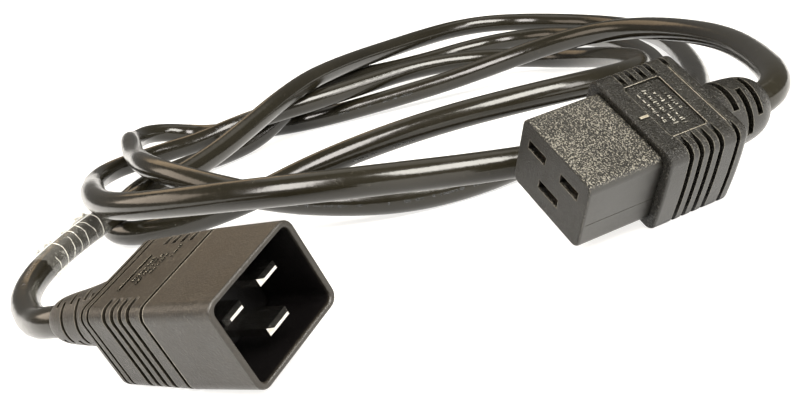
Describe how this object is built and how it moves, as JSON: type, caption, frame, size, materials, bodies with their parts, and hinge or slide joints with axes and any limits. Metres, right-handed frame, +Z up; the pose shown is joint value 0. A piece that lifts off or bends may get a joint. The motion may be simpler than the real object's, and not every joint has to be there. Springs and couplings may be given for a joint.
{
  "type": "c19 power connector cord",
  "caption": "Black power cord lying in a loose coil, with a C19 female connector on one end, a C20 plug with a hollow mouth on the other, and a piece of clear film round the cord.",
  "frame": {"origin": "the point on the floor under the middle of the C19 connector", "axes": "+Z up; +Y along the C19's axis from its mating face to its cable outlet; the coil lies towards -X"},
  "size_m": [0.3472, 0.3133, 0.0368],
  "materials": {
    "c19_block": "fine spark texture",
    "c19_grip": "satin soft PVC",
    "c20_grip": "satin soft PVC",
    "c20_shroud": "satin",
    "inner_plate": "matt",
    "copper": "bare copper",
    "core_brown": "gloss PVC",
    "core_blue": "gloss PVC",
    "core_green": "gloss PVC, green with a yellow stripe",
    "contact_brass": "stamped brass",
    "blade_nickel": "nickel plate",
    "cord_pvc": "semi-gloss PVC",
    "clear_film": "thin clear film"
  },
  "bodies": {
    "root": {"c19_contact_earth": "contact_brass", "c19_contact_line": "contact_brass", "c19_contact_neutral": "contact_brass", "c19_contact_plate": "inner_plate", "c19_core_earth": "core_green", "c19_core_line": "core_brown", "c19_core_neutral": "core_blue", "c19_front_block": "c19_block", "c19_grip": "c19_grip", "c19_strands_earth": "copper", "c19_strands_line": "copper", "c19_strands_neutral": "copper", "c20_blade_earth": "blade_nickel", "c20_blade_line": "blade_nickel", "c20_blade_neutral": "blade_nickel", "c20_contact_plate": "inner_plate", "c20_core_earth": "core_green", "c20_core_line": "core_brown", "c20_core_neutral": "core_blue", "c20_grip": "c20_grip", "c20_shroud": "c20_shroud", "c20_strands_earth": "copper", "c20_strands_line": "copper", "c20_strands_neutral": "copper", "cord_film": "clear_film", "cord_jacket": "cord_pvc"}
  },
  "joints": []
}
